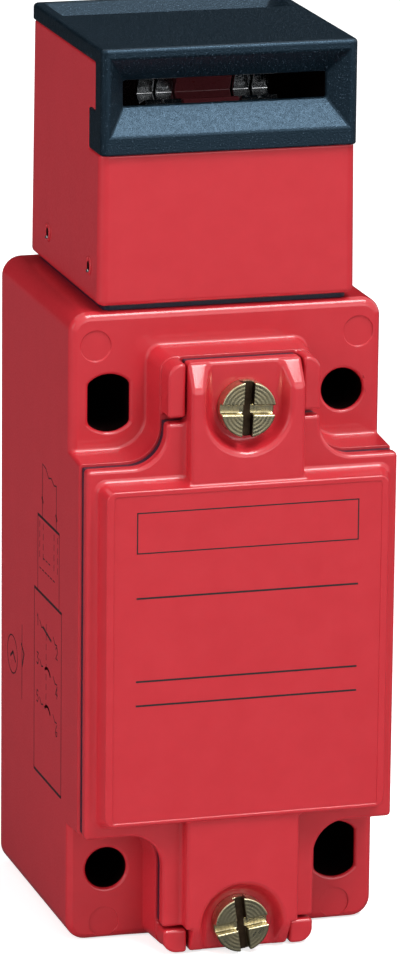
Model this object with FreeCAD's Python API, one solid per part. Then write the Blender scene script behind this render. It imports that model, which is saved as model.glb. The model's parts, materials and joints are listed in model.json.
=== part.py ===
"""Tongue interlock switch: die-cast body, lift-off cover, turret head and contact block.

Millimetres, +Z up.  The origin is the middle of the underside: X runs across the front,
Y runs from the front (-22) to the mounting face (+22), Z runs from the cable entry to the hood.
"""
import FreeCAD, Part
import math
import os
from FreeCAD import Vector

# ---- overall size -------------------------------------------------------------------
HALF_W = 20.0            # half the body's width
BACK = 22.0              # mounting face
FRONT = -22.0            # front of the cover's panel
BODY_TOP = 80.8
TOTAL_H = 113.5

# ---- body casting -------------------------------------------------------------------
CORNER_Y = -11.7         # front face of the four corners that carry the fixing holes
GASKET_Y = -16.3         # rim that the gasket sits on
SIDE_R = 2.5             # radius of the long edges that run front to back
CORNER_EDGE = 0.7        # broken edge round the corner faces
RIM_LOW = 15.6
RIM_HIGH = 63.0
NECK = 9.85              # half width of the neck that carries a cover screw
NECK_TOP = 75.9
NECK_R = 4.3             # hollow corner between neck and rim
NECK_TIP_R = 1.8
RIM_DRAFT = 0.45
POST_IN = 7.5            # posts beside the upper ear
POST_Z = 69.0
LOW_POST_IN = 6.7
LOW_POST_Z = 3.2
POST_Y = -19.7
POST_SET = 0.12          # posts stand this far inside the neck's outline
CHAMBER_W = 17.0
CHAMBER_LOW = 18.2
CHAMBER_HIGH = 60.6
CHAMBER_BACK = 19.4
CHAMBER_R = 2.0

# ---- fixing holes -------------------------------------------------------------------
HOLE_X = 15.0
HOLE_LOW = 9.3
HOLE_HIGH = 69.3
HOLE_R = 2.65
OBLONG_R = 3.65          # circle of the two adjusting holes, cut by flats HOLE_R from the axis
MARK_R = 1.95            # ejector marks
MARK_DEPTH = 0.2

# ---- cable entry --------------------------------------------------------------------
ENTRY_R = 9.53           # minor radius of the Pg 13.5 thread

# ---- gasket and cover ---------------------------------------------------------------
GASKET_T = 1.2
COVER_Y = GASKET_Y - GASKET_T
FLANGE_Y = COVER_Y - 1.9
EAR_Y = FRONT + 0.5
COVER_W = 19.9
SHOULDER_HIGH = 68.3
SHOULDER_LOW = 3.5
EAR_TOP = 75.8
EAR_LOW = 0.1
EAR_W = 7.3
EAR_SLOPE_Z = 3.2
PANEL_BASE = 18.6
PANEL_FRONT = 18.0
PANEL_LOW = 17.4
PANEL_HIGH = 61.3
LABEL_W = 17.1
LABEL_LOW = 18.4
LABEL_HIGH = 60.1
LABEL_DEPTH = 0.12
COVER_WALL = 1.8
NOTCH_FLOOR_R = 4.5
NOTCH_RIM_R = 5.5

# ---- cover screws -------------------------------------------------------------------
SCREW_Z = (69.9, 3.7)
SCREW_HEAD_R = 3.5
SCREW_HEAD_T = 2.1
SCREW_R = 2.0
SCREW_TIP = -8.2
SLOT_W = 1.2
SLOT_DEPTH = 1.1

# ---- turret head --------------------------------------------------------------------
HEAD_Y = 4.6             # turret axis, plunger, carriage and cable entry are all on it
HEAD_LOW = 81.5
HEAD_HALF_LOW = 16.45
HEAD_HALF = 16.2
HEAD_WALL = 13.8         # half width of the cavity
HEAD_R = 1.3
HOOD_LOW = 100.3
HOOD_SEAT = 111.4
HOOD_HALF = 16.3
HOOD_FRONT = -12.3
HOOD_FRONT_T = 3.2
LUG_BACK = -6.3
LUG_HIGH = 105.4
SLOT_HALF = 12.9         # tongue slot
SLOT_LOW = 105.9
SLOT_HIGH = 109.1
BEVEL_HALF = 15.2
BEVEL_LOW = 102.6
BEVEL_HIGH = 112.2
BEVEL_DEPTH = 2.6
TOP_SLOT_Y = (13.7, 16.9)
TOP_BEVEL_Y = (10.8, 19.8)
TOP_BEVEL_HALF = 15.0
TOP_BEVEL_DEPTH = 2.2
BASE_Z = (84.0, 86.4)
SPIGOT_R = 7.8
SPIGOT_LOW = 75.2
SEAL_Z = (78.9, 80.3)
SEAL_T = 1.4
TOP_WALL_LOW = 76.6      # underside of the body's top wall
RING_R = 10.2
RING_BORE_R = 4.4
RING_T = 1.3
RING_SCREW_X = 5.9
RING_SCREW_R = 1.25
RING_SCREW_TIP = 78.6
HEAD_CAVITY_R = 10.6     # room in the body for the ring

# ---- rotor and plunger --------------------------------------------------------------
ROTOR_Z = 98.0
SHAFT_R = 2.0
RUN = 0.06               # radial running clearance
CAM_W = 3.6
CAM_R = 11.0
CAM_REST_R = 10.2
STROKE = 3.0             # plunger lift over the rotor's turn
TURN = 60.0              # rotor turn, degrees
HUB_R = 4.2
DISC_R = 11.2
DISC_T = 2.2
DISC_X = (-7.45, -4.95, 4.95, 7.45)
DISC_NOTCH = 2.6
BUSH_X = (8.9, 13.6)
BUSH_R = 3.6
PLUNGER_R = 2.5
PLUNGER_TOP = ROTOR_Z - CAM_REST_R - 0.4
PLUNGER_LOW = 61.2
PLUNGER_TIP_R = 1.0
PLUNGER_TIP_H = 1.2
GUIDE_R = 3.4
CLIP_Z = (68.6, 69.4)
CLIP_GROOVE = 0.5

# ---- contact block ------------------------------------------------------------------
BLOCK_W = 15.6
BLOCK_Y = (-4.2, 13.0)
BLOCK_Z = (28.4, 60.2)
CORE_W = 10.2
CHANNEL_W = 3.65
CHANNEL_BACK = 9.8
CARRIAGE_W = 3.45
CARRIAGE_Y = (-3.8, 9.6)
CARRIAGE_Z = (30.5, 60.0)
TAIL_W = 4.7
TAIL_LOW = 20.2
SPRING_LOW = 21.4
SPRING_R = 2.3
WIRE = 0.55
TERMINAL_Z = (37.5, 46.0, 54.5)
TERMINAL_X = 12.5
STRIP_Z = (40.0, 45.0, 53.5)     # middle of each pole's fixed strip
STRIP_T = 0.8
CONTACT_GAP = 0.25
BRIDGE_HALF = 8.2
BRIDGE_Y = (1.6, 7.6)
BRIDGE_T = 0.7
TIP_X = 6.6
TIP_R = 1.2              # half the side of a square contact tip
TIP_T = 0.5
BLOCK_SCREW = (7.4, 31.4)
EARTH = (12.5, 23.2)


# ---- helpers ------------------------------------------------------------------------
def box(x0, x1, y0, y1, z0, z1):
    return Part.makeBox(x1 - x0, y1 - y0, z1 - z0, Vector(x0, y0, z0))


def rod_x(y, z, r, x0, x1):
    return Part.makeCylinder(r, x1 - x0, Vector(x0, y, z), Vector(1, 0, 0))


def rod_y(x, z, r, y0, y1):
    return Part.makeCylinder(r, y1 - y0, Vector(x, y0, z), Vector(0, 1, 0))


def rod_z(x, y, r, z0, z1):
    return Part.makeCylinder(r, z1 - z0, Vector(x, y, z0), Vector(0, 0, 1))


def union(shapes):
    shapes = list(shapes)
    if len(shapes) == 1:
        return shapes[0]
    return shapes[0].fuse(shapes[1:]).removeSplitter()


def cut(shape, tools):
    for tool in tools:
        shape = shape.cut(tool)
    return shape


def arc(centre, start, end):
    """The short arc from start to end about centre."""
    radius = (start - centre).Length
    middle = (start - centre) + (end - centre)
    middle.normalize()
    return Part.Arc(start, centre + middle * radius, end).toShape()


def rounded_rectangle(a0, a1, b0, b1, radius, place):
    """A rectangle with round corners; place turns its two coordinates into a point."""
    corners = [(a1, b1, -1, -1), (a0, b1, 1, -1), (a0, b0, 1, 1), (a1, b0, -1, 1)]
    edges = []
    points = []
    for index, (a, b, to_a, to_b) in enumerate(corners):
        centre = place(a + to_a * radius, b + to_b * radius)
        on_a = place(a, b + to_b * radius)
        on_b = place(a + to_a * radius, b)
        first, second = (on_a, on_b) if index % 2 == 0 else (on_b, on_a)
        if points:
            edges.append(Part.LineSegment(points[-1], first).toShape())
        edges.append(arc(centre, first, second))
        points += [first, second]
    edges.append(Part.LineSegment(points[-1], points[0]).toShape())
    return Part.Wire(edges)


def frontal(y):
    """Places a point of a front view at depth y."""
    return lambda x, z: Vector(x, y, z)


def plan(z):
    """Places a point of a plan view at height z."""
    return lambda x, y: Vector(x, y, z)


def slab_y(wire, depth):
    return Part.Face(wire).extrude(Vector(0, depth, 0))


def edges_where(shape, test):
    return [edge for edge in shape.Edges if test(edge)]


def runs_along(edge, axis):
    box_size = edge.BoundBox
    size = {"x": box_size.XLength, "y": box_size.YLength, "z": box_size.ZLength}
    length = size.pop(axis)
    return length > 0.01 and max(size.values()) < 0.001


def mirrored(shape):
    return shape.mirror(Vector(0, 0, 0), Vector(1, 0, 0))


def both_sides(shape):
    return [shape, mirrored(shape)]


def coil(x, y, z0, z1, coil_r, wire, turns):
    """A compression spring of square wire about a vertical axis, in flat facets."""
    per_turn = 10
    count = per_turn * turns
    rise = (z1 - z0 - wire) / count
    rings = []
    for i in range(count + 1):
        angle = 2 * math.pi * i / per_turn
        z = z0 + i * rise
        ring = []
        for r, dz in ((coil_r - wire, 0), (coil_r, 0), (coil_r, wire), (coil_r - wire, wire)):
            ring.append(Vector(x + r * math.cos(angle), y + r * math.sin(angle), z + dz))
        rings.append(ring)
    polygons = [rings[0][::-1], rings[-1]]
    for near, far in zip(rings, rings[1:]):
        for a, b in ((0, 1), (1, 2), (2, 3), (3, 0)):
            polygons.append([near[a], near[b], far[b]])
            polygons.append([near[a], far[b], far[a]])
    return flat_solid(polygons)


def flat_face(points):
    return Part.Face(Part.makePolygon(points + points[:1]))


def flat_solid(polygons):
    """A solid from polygons that all run the same way round; they are turned if inside out."""
    solid = Part.makeSolid(Part.makeShell([flat_face(points) for points in polygons]))
    if solid.Volume < 0:
        turned = [flat_face(points[::-1]) for points in polygons]
        solid = Part.makeSolid(Part.makeShell(turned))
    return solid


def prismoid(near, far):
    """A solid between two outlines with the same number of corners, in flat faces."""
    polygons = [near[::-1], far]
    for i in range(len(near)):
        j = (i + 1) % len(near)
        polygons.append([near[i], near[j], far[j], far[i]])
    return flat_solid(polygons)


def frustum_y(rect0, y0, rect1, y1):
    """A block with drafted sides between two upright rectangles (x0, x1, z0, z1)."""
    ends = []
    for (x0, x1, z0, z1), y in ((rect0, y0), (rect1, y1)):
        ends.append([Vector(x0, y, z0), Vector(x1, y, z0), Vector(x1, y, z1), Vector(x0, y, z1)])
    return prismoid(*ends)


def frustum_z(rect0, z0, rect1, z1):
    """A block with drafted sides between two level rectangles (x0, x1, y0, y1)."""
    ends = []
    for (x0, x1, y0, y1), z in ((rect0, z0), (rect1, z1)):
        ends.append([Vector(x0, y0, z), Vector(x1, y0, z), Vector(x1, y1, z), Vector(x0, y1, z)])
    return prismoid(*ends)


def head_rect(half):
    return -half, half, HEAD_Y - half, HEAD_Y + half


# ---- body ---------------------------------------------------------------------------
def rim():
    """Raised rim with its two necks: drafted faces, round neck tips and hollow corners."""
    back = CORNER_Y + 1
    wide = frustum_y((-HALF_W, HALF_W, RIM_LOW - RIM_DRAFT, RIM_HIGH + RIM_DRAFT), back,
                     (-HALF_W, HALF_W, RIM_LOW, RIM_HIGH), GASKET_Y)
    neck = frustum_y((-NECK - RIM_DRAFT, NECK + RIM_DRAFT, 0, NECK_TOP + RIM_DRAFT), back,
                     (-NECK, NECK, 0, NECK_TOP), GASKET_Y)
    solid = union([wide, neck])
    solid = solid.makeFillet(NECK_R, neck_edges(solid, (RIM_LOW, RIM_HIGH)))
    return solid.makeFillet(NECK_TIP_R, neck_edges(solid, (0, NECK_TOP)))


def neck_edges(solid, heights):
    """Edges beside the neck, running front to back, that start at the given heights."""
    def wanted(edge):
        room = edge.BoundBox
        beside = NECK - 0.1 < abs(room.Center.x) < NECK + RIM_DRAFT + 0.1
        near = min(abs(room.Center.z - height) for height in heights) < RIM_DRAFT + 0.1
        return beside and near and room.YLength > 3 and room.ZLength < 1
    return edges_where(solid, wanted)


def body_shell():
    """The outside of the casting: block, drafted rim and the four posts."""
    block = slab_y(rounded_rectangle(-HALF_W, HALF_W, 0, BODY_TOP, SIDE_R, frontal(CORNER_Y)),
                   BACK - CORNER_Y)
    front_edges = edges_where(block, lambda e: abs(e.BoundBox.YMax - CORNER_Y) < 0.01)
    block = block.makeChamfer(CORNER_EDGE, front_edges)
    back_edges = edges_where(block, lambda e: abs(e.BoundBox.YMin - BACK) < 0.01)
    block = block.makeChamfer(0.4, back_edges)
    sides = box(-HALF_W, HALF_W, CORNER_Y, CORNER_Y + 3, RIM_LOW, RIM_HIGH)
    return union([block, rim(), sides] + posts())


def posts():
    """Posts that stand beside the cover's ears and guard the screws."""
    back = GASKET_Y + 0.5
    found = []
    side = NECK - POST_SET
    top = NECK_TOP - POST_SET
    for x0, z0, z1, tip_z in ((POST_IN, POST_Z, top, top), (LOW_POST_IN, POST_SET, LOW_POST_Z, POST_SET)):
        post = box(x0, side, POST_Y, back, z0, z1)
        tip = edges_where(post, lambda e: runs_along(e, "y") and abs(e.BoundBox.ZMax - tip_z) < 0.01
                          and abs(e.BoundBox.XMax - side) < 0.01)
        found += both_sides(post.makeFillet(NECK_TIP_R, tip))
    return found


def fixing_holes():
    """Two round holes on one diagonal and two oblong ones on the other."""
    tools = []
    for x, z in ((HOLE_X, HOLE_HIGH), (-HOLE_X, HOLE_LOW)):
        tools.append(rod_y(x, z, HOLE_R, CORNER_Y - 1, BACK + 1))
    for x, z in ((-HOLE_X, HOLE_HIGH), (HOLE_X, HOLE_LOW)):
        circle = rod_y(x, z, OBLONG_R, CORNER_Y - 1, BACK + 1)
        flats = box(x - HOLE_R, x + HOLE_R, CORNER_Y - 2, BACK + 2, z - 5, z + 5)
        tools.append(circle.common(flats))
    return tools


def ejector_marks():
    places = ((-16.7, 76.6), (17.0, 76.6), (-15.3, 2.3), (15.0, 2.3))
    return [rod_y(x, z, MARK_R, CORNER_Y - 1, CORNER_Y + MARK_DEPTH) for x, z in places]


def chamber():
    """Wiring chamber, opened to the front, with the well above it for the head's ring."""
    main = slab_y(rounded_rectangle(-CHAMBER_W, CHAMBER_W, CHAMBER_LOW, CHAMBER_HIGH, CHAMBER_R,
                                    frontal(GASKET_Y - 5)), CHAMBER_BACK - GASKET_Y + 5)
    well = rod_z(0, HEAD_Y, HEAD_CAVITY_R, CHAMBER_HIGH - 3, TOP_WALL_LOW)
    return [main, well]


def chamber_bosses():
    """Bosses on the chamber's back wall for the block's screws and the earth terminal."""
    x, z = BLOCK_SCREW
    found = [rod_y(side * x, z, 2.9, BLOCK_Y[1], CHAMBER_BACK + 1) for side in (-1, 1)]
    found.append(rod_y(EARTH[0], EARTH[1], 3.4, 5.0, CHAMBER_BACK + 1))
    return found


def body_housing():
    shell = cut(body_shell(), fixing_holes() + ejector_marks() + chamber())
    shell = union([shell] + chamber_bosses())
    x, z = BLOCK_SCREW
    tools = [rod_z(0, HEAD_Y, ENTRY_R, -1, CHAMBER_LOW + 1),
             rod_z(0, HEAD_Y, SPIGOT_R + RUN, TOP_WALL_LOW - 1, BODY_TOP + 1)]
    tools += [rod_y(0, screw_z, SCREW_R + RUN, POST_Y - 1, SCREW_TIP + 0.6) for screw_z in SCREW_Z]
    tools += [rod_y(side * x, z, 1.5, BLOCK_Y[1] - 1, CHAMBER_BACK + 0.6) for side in (-1, 1)]
    tools.append(rod_y(EARTH[0], EARTH[1], 1.75, 4, 15.2))
    return cut(shell, tools)


# ---- cover --------------------------------------------------------------------------
def cover_wire(y, inset):
    """Outline of flange and gasket: the rim's outline, with a narrow tongue under each ear."""
    neck = NECK - inset
    high = RIM_HIGH - 0.1 - inset
    low = RIM_LOW + 0.1 + inset
    wide = COVER_W - inset
    hollow = NECK_R + inset
    shoulder_high = SHOULDER_HIGH - inset
    shoulder_low = SHOULDER_LOW + inset
    ear = EAR_W - inset
    at = frontal(y)
    corners_up = [at(0, EAR_TOP - inset), at(ear, EAR_TOP - inset), at(ear, shoulder_high),
                  at(neck, shoulder_high), at(neck, high + hollow)]
    corners_side = [at(neck + hollow, high), at(wide, high), at(wide, low), at(neck + hollow, low)]
    low_ear = LOW_POST_IN - 0.3 - inset
    corners_down = [at(neck, low - hollow), at(neck, shoulder_low), at(low_ear, shoulder_low),
                    at(low_ear, EAR_LOW + inset), at(0, EAR_LOW + inset)]
    right = []
    for corners in (corners_up, corners_side, corners_down):
        for start, end in zip(corners, corners[1:]):
            right.append(Part.LineSegment(start, end).toShape())
    right.append(arc(at(neck + hollow, high + hollow), corners_up[-1], corners_side[0]))
    right.append(arc(at(neck + hollow, low - hollow), corners_side[-1], corners_down[0]))
    left = [edge.mirror(Vector(0, 0, 0), Vector(1, 0, 0)) for edge in right]
    return Part.Wire(Part.__sortEdges__(right + left))


def panel():
    """The raised panel, drafted, with rounded corners."""
    inset = PANEL_BASE - PANEL_FRONT
    solid = frustum_y((-PANEL_BASE, PANEL_BASE, PANEL_LOW, PANEL_HIGH), FLANGE_Y,
                      (-PANEL_FRONT, PANEL_FRONT, PANEL_LOW + inset, PANEL_HIGH - inset), FRONT)
    corners = edges_where(solid, lambda e: e.BoundBox.YLength > 1)
    return solid.makeFillet(1.2, corners)


def ear(z_end, z_root, half, slope=EAR_SLOPE_Z):
    """A screw ear, seen from the side as a bar with a sloped outer end."""
    away = 1 if z_end > z_root else -1
    knee = z_end - away * slope
    points = [(FLANGE_Y + 0.5, z_root), (FLANGE_Y + 0.5, z_end), (FLANGE_Y, z_end),
              (EAR_Y, knee), (EAR_Y, z_root)]
    return flat_face([Vector(-half, y, z) for y, z in points]).extrude(Vector(2 * half, 0, 0))


def screw_notch(screw_z, z_end):
    """The pocket round a screw: round inside, open at the ear's outer end, with sloped walls."""
    depth = FLANGE_Y - EAR_Y
    rise = NOTCH_RIM_R - NOTCH_FLOOR_R
    over = 1.0
    rim_r = NOTCH_RIM_R + rise * over / depth
    cone = Part.makeCone(NOTCH_FLOOR_R, rim_r, depth + over, Vector(0, FLANGE_Y, screw_z),
                         Vector(0, -1, 0))
    far = z_end + (2 if z_end > screw_z else -2)
    points = [(-NOTCH_FLOOR_R, FLANGE_Y), (NOTCH_FLOOR_R, FLANGE_Y),
              (rim_r, EAR_Y - over), (-rim_r, EAR_Y - over)]
    wire = Part.makePolygon([Vector(x, y, screw_z) for x, y in points + points[:1]])
    trough = Part.Face(wire).extrude(Vector(0, 0, far - screw_z))
    return cone.fuse(trough)


def front_cover():
    low_half = LOW_POST_IN - 0.3
    flange = slab_y(cover_wire(FLANGE_Y, 0.0), COVER_Y - FLANGE_Y)
    solid = union([flange, panel(), ear(EAR_TOP, PANEL_HIGH - 3, EAR_W),
                   ear(SHOULDER_LOW, PANEL_LOW + 3, EAR_W, 0), ear(EAR_LOW, PANEL_LOW, low_half)])
    label = box(-LABEL_W, LABEL_W, FRONT - 1, FRONT + LABEL_DEPTH, LABEL_LOW, LABEL_HIGH)
    inside = slab_y(rounded_rectangle(-CHAMBER_W + 0.4, CHAMBER_W - 0.4, CHAMBER_LOW + 1,
                                      CHAMBER_HIGH - 1, CHAMBER_R, frontal(FRONT + COVER_WALL)), 5)
    tools = [screw_notch(SCREW_Z[0], EAR_TOP), screw_notch(SCREW_Z[1], EAR_LOW), label, inside]
    for z in SCREW_Z:
        tools.append(rod_y(0, z, SCREW_R + 0.2, FRONT, COVER_Y + 1))
        tools.append(rod_y(0, z, 3.3, COVER_Y - 0.9, COVER_Y + 1))
    return cut(solid, tools)


def cover_gasket():
    sheet = slab_y(cover_wire(COVER_Y, 0.2), GASKET_T)
    hole = slab_y(rounded_rectangle(-CHAMBER_W, CHAMBER_W, CHAMBER_LOW, CHAMBER_HIGH, CHAMBER_R,
                                    frontal(COVER_Y - 1)), GASKET_T + 2)
    return cut(sheet, [hole] + [rod_y(0, z, 3.3, COVER_Y - 1, GASKET_Y + 1) for z in SCREW_Z])


def slotted_head(x, z, radius, y_face, y_seat, slot_w, slot_depth, turns):
    """A cheese head with a slot at each of the angles in turns, in degrees."""
    head = rod_y(x, z, radius, y_face, y_seat)
    for angle in turns:
        slot = box(-radius - 1, radius + 1, y_face - 1, y_face + slot_depth, -slot_w / 2, slot_w / 2)
        slot.rotate(Vector(0, 0, 0), Vector(0, 1, 0), angle)
        slot.translate(Vector(x, 0, z))
        head = head.cut(slot)
    return head


def cover_screws():
    screws = []
    for z, turn in zip(SCREW_Z, (3, -8)):
        head = slotted_head(0, z, SCREW_HEAD_R, FLANGE_Y - SCREW_HEAD_T, FLANGE_Y, SLOT_W,
                            SLOT_DEPTH, (turn, turn + 90))
        shank = rod_y(0, z, SCREW_R, FLANGE_Y - 0.4, SCREW_TIP)
        screws.append(union([head, shank]))
    return Part.makeCompound(screws)


def screw_retainers():
    rings = []
    for z in SCREW_Z:
        ring = rod_y(0, z, 3.1, COVER_Y - 0.8, COVER_Y)
        rings.append(ring.cut(rod_y(0, z, SCREW_R, COVER_Y - 2, COVER_Y + 1)))
    return Part.makeCompound(rings)


# ---- turret head --------------------------------------------------------------------
def head_square(half, radius, z):
    return rounded_rectangle(-half, half, HEAD_Y - half, HEAD_Y + half, radius, plan(z))


def head_casing():
    solid = frustum_z(head_rect(HEAD_HALF_LOW), HEAD_LOW, head_rect(HEAD_HALF), HOOD_SEAT)
    upright = edges_where(solid, lambda e: e.BoundBox.ZLength > 20)
    solid = solid.makeFillet(HEAD_R, upright)
    foot = edges_where(solid, lambda e: abs(e.BoundBox.ZMax - HEAD_LOW) < 0.01)
    solid = solid.makeChamfer(0.4, foot)
    cavity = Part.Face(head_square(HEAD_WALL, 1.0, HEAD_LOW - 1)).extrude(Vector(0, 0, 40))
    front = HEAD_Y - HEAD_HALF_LOW - 1
    hood_front = box(-20, 20, front, HOOD_FRONT + HOOD_FRONT_T, HOOD_LOW, HOOD_SEAT + 1)
    lugs = box(-20, 20, front, LUG_BACK, HOOD_LOW, LUG_HIGH)
    shaft = rod_x(HEAD_Y, ROTOR_Z, SHAFT_R, -HEAD_WALL - 1.6, HEAD_WALL + 1.6)
    return cut(solid, [cavity, hood_front, lugs, shaft])


def slot_hood():
    """Plastic hood with the front and top tongue slots, each with a wide lead-in bevel."""
    back = HEAD_Y + HOOD_HALF
    plate_back = HOOD_FRONT + HOOD_FRONT_T
    top = Part.Face(rounded_rectangle(-HOOD_HALF, HOOD_HALF, HOOD_FRONT, back, 0.9,
                                      plan(HOOD_SEAT))).extrude(Vector(0, 0, TOTAL_H - HOOD_SEAT))
    face = Part.Face(rounded_rectangle(-HOOD_HALF, HOOD_HALF, HOOD_FRONT, plate_back, 0.9,
                                       plan(HOOD_LOW))).extrude(Vector(0, 0, HOOD_SEAT - HOOD_LOW))
    square_back = box(-HOOD_HALF, HOOD_HALF, plate_back - 1.5, plate_back, HOOD_LOW, HOOD_SEAT)
    lug = box(HEAD_WALL + 0.1, HOOD_HALF, plate_back - 0.5, LUG_BACK, HOOD_LOW, LUG_HIGH)
    lip = box(-13.6, 13.6, TOP_SLOT_Y[0] - 1.5, TOP_SLOT_Y[1] + 1.2, HOOD_SEAT - 1.0, HOOD_SEAT + 1)
    hood = union([top, face, square_back, lip] + both_sides(lug))
    crown = edges_where(hood, lambda e: e.BoundBox.ZMin > TOTAL_H - 0.01)
    hood = hood.makeChamfer(0.3, crown)
    return cut(hood, [front_slot_tool(), top_slot_tool()])


def front_slot_tool():
    bevel = frustum_y((-BEVEL_HALF, BEVEL_HALF, BEVEL_LOW, BEVEL_HIGH), HOOD_FRONT,
                      (-SLOT_HALF, SLOT_HALF, SLOT_LOW, SLOT_HIGH), HOOD_FRONT + BEVEL_DEPTH)
    return bevel.fuse(box(-SLOT_HALF, SLOT_HALF, HOOD_FRONT + BEVEL_DEPTH, LUG_BACK, SLOT_LOW,
                          SLOT_HIGH))


def top_slot_tool():
    mouth = (-TOP_BEVEL_HALF, TOP_BEVEL_HALF) + TOP_BEVEL_Y
    slot = (-SLOT_HALF, SLOT_HALF) + TOP_SLOT_Y
    bevel = frustum_z(mouth, TOTAL_H, slot, TOTAL_H - TOP_BEVEL_DEPTH)
    return bevel.fuse(box(*slot, HOOD_SEAT - 2, TOTAL_H - TOP_BEVEL_DEPTH))


def head_base():
    """Plate staked into the casing's foot, with the spigot that turns in the body."""
    plate = Part.Face(head_square(HEAD_WALL - 0.05, 1.0, BASE_Z[0])).extrude(
        Vector(0, 0, BASE_Z[1] - BASE_Z[0]))
    spigot = rod_z(0, HEAD_Y, SPIGOT_R, SPIGOT_LOW, BASE_Z[0] + 0.5)
    groove = groove_z(SPIGOT_R, SEAL_T, *SEAL_Z)
    tools = [groove, rod_z(0, HEAD_Y, GUIDE_R, SPIGOT_LOW - 1, BASE_Z[1] + 1)]
    tools += [rod_z(x, HEAD_Y, RING_SCREW_R, SPIGOT_LOW - 1, RING_SCREW_TIP)
              for x in (-RING_SCREW_X, RING_SCREW_X)]
    return cut(union([plate, spigot]), tools)


def spigot_seal():
    return ring_z(SPIGOT_R, SPIGOT_R - SEAL_T, *SEAL_Z)


def head_gasket():
    outer = Part.Face(head_square(15.6, 1.0, BODY_TOP))
    inner = Part.Face(head_square(13.0, 1.0, BODY_TOP))
    return outer.cut(inner).extrude(Vector(0, 0, HEAD_LOW - BODY_TOP))


def ring_z(outer, inner, z0, z1):
    return rod_z(0, HEAD_Y, outer, z0, z1).cut(rod_z(0, HEAD_Y, inner, z0 - 1, z1 + 1))


def groove_z(radius, depth, z0, z1):
    return ring_z(radius + 1, radius - depth, z0, z1)


def retaining_ring():
    ring = ring_z(RING_R, RING_BORE_R, SPIGOT_LOW - RING_T, SPIGOT_LOW)
    return cut(ring, [rod_z(x, HEAD_Y, RING_SCREW_R, SPIGOT_LOW - 3, SPIGOT_LOW + 1)
                      for x in (-RING_SCREW_X, RING_SCREW_X)])


def ring_screws():
    seat = SPIGOT_LOW - RING_T
    screws = []
    for x in (-RING_SCREW_X, RING_SCREW_X):
        head = rod_z(x, HEAD_Y, 2.2, seat - 1.4, seat)
        slot = box(x - 3, x + 3, HEAD_Y - 0.3, HEAD_Y + 0.3, seat - 2, seat - 0.7)
        shank = rod_z(x, HEAD_Y, RING_SCREW_R, seat - 0.3, RING_SCREW_TIP)
        screws.append(union([head, shank]).cut(slot))
    return Part.makeCompound(screws)


def plunger_guide():
    return ring_z(GUIDE_R, PLUNGER_R + RUN, SPIGOT_LOW, BASE_Z[1])


def plunger_seal():
    return ring_z(RING_BORE_R, PLUNGER_R + RUN, SPIGOT_LOW - RING_T, SPIGOT_LOW)


def plunger():
    shoulder = PLUNGER_TOP - PLUNGER_TIP_H
    stem = rod_z(0, HEAD_Y, PLUNGER_R, PLUNGER_LOW, shoulder)
    tip = Part.makeCone(PLUNGER_R, PLUNGER_TIP_R, PLUNGER_TIP_H, Vector(0, HEAD_Y, shoulder))
    return union([stem, tip]).cut(groove_z(PLUNGER_R, CLIP_GROOVE, *CLIP_Z))


def plunger_clip():
    clip = ring_z(3.7, PLUNGER_R - CLIP_GROOVE, *CLIP_Z)
    return clip.cut(box(-1.2, 1.2, HEAD_Y, HEAD_Y + 6, CLIP_Z[0] - 1, CLIP_Z[1] + 1))


# ---- rotor --------------------------------------------------------------------------
def rim_point(x, radius, degrees):
    """A point on the rotor, at an angle from straight down, turning towards the back."""
    angle = math.radians(degrees)
    return Vector(x, HEAD_Y + radius * math.sin(angle), ROTOR_Z - radius * math.cos(angle))


def rim_arc(x, radius, start, end):
    middle = rim_point(x, radius, (start + end) / 2)
    return Part.Arc(rim_point(x, radius, start), middle, rim_point(x, radius, end)).toShape()


def cam_wire(x):
    """Cam outline: a spiral that lets the plunger rise evenly as the rotor turns."""
    low = CAM_REST_R - STROKE
    steps = 6
    spiral = Part.BSplineCurve()
    spiral.interpolate([rim_point(x, CAM_REST_R - STROKE * i / steps, TURN * i / steps)
                        for i in range(steps + 1)])
    step_up = TURN + 25
    step_down = 330
    return Part.Wire([
        spiral.toShape(),
        rim_arc(x, low, TURN, step_up),
        Part.LineSegment(rim_point(x, low, step_up), rim_point(x, CAM_R, step_up)).toShape(),
        rim_arc(x, CAM_R, step_up, step_down),
        Part.LineSegment(rim_point(x, CAM_R, step_down),
                         rim_point(x, CAM_REST_R, step_down)).toShape(),
        rim_arc(x, CAM_REST_R, step_down, 360),
    ])


def rotor_cam():
    cam = Part.Face(cam_wire(-CAM_W)).extrude(Vector(2 * CAM_W, 0, 0))
    hub = rod_x(HEAD_Y, ROTOR_Z, HUB_R, -BUSH_X[0] + 0.1, BUSH_X[0] - 0.1)
    pocket = [tongue_notch(-CAM_W - 1, 2 * CAM_W + 2, angle) for angle in (218, 142)]
    return cut(union([cam, hub]), pocket + [rod_x(HEAD_Y, ROTOR_Z, SHAFT_R + RUN, -20, 20)])


def tongue_notch(x, width, degrees):
    """A wedge cut in the rim where a tongue's end pushes the rotor round."""
    inner = DISC_R - DISC_NOTCH
    points = [rim_point(x, inner, degrees + 4), rim_point(x, DISC_R + 2, degrees + 14),
              rim_point(x, DISC_R + 2, degrees - 9), rim_point(x, inner, degrees - 7)]
    wire = Part.makePolygon(points + points[:1])
    return Part.Face(wire).extrude(Vector(width, 0, 0))


def coding_discs():
    discs = []
    for centre in DISC_X:
        x0 = centre - DISC_T / 2
        disc = rod_x(HEAD_Y, ROTOR_Z, DISC_R, x0, x0 + DISC_T)
        tools = [tongue_notch(x0 - 1, DISC_T + 2, angle) for angle in (218, 142)]
        tools.append(rod_x(HEAD_Y, ROTOR_Z, HUB_R, x0 - 1, x0 + DISC_T + 1))
        discs.append(cut(disc, tools))
    return Part.makeCompound(discs)


def rotor_bushes():
    bush = rod_x(HEAD_Y, ROTOR_Z, BUSH_R, BUSH_X[0], BUSH_X[1])
    bush = bush.cut(rod_x(HEAD_Y, ROTOR_Z, SHAFT_R + RUN, 0, 20))
    return Part.makeCompound(both_sides(bush))


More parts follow.
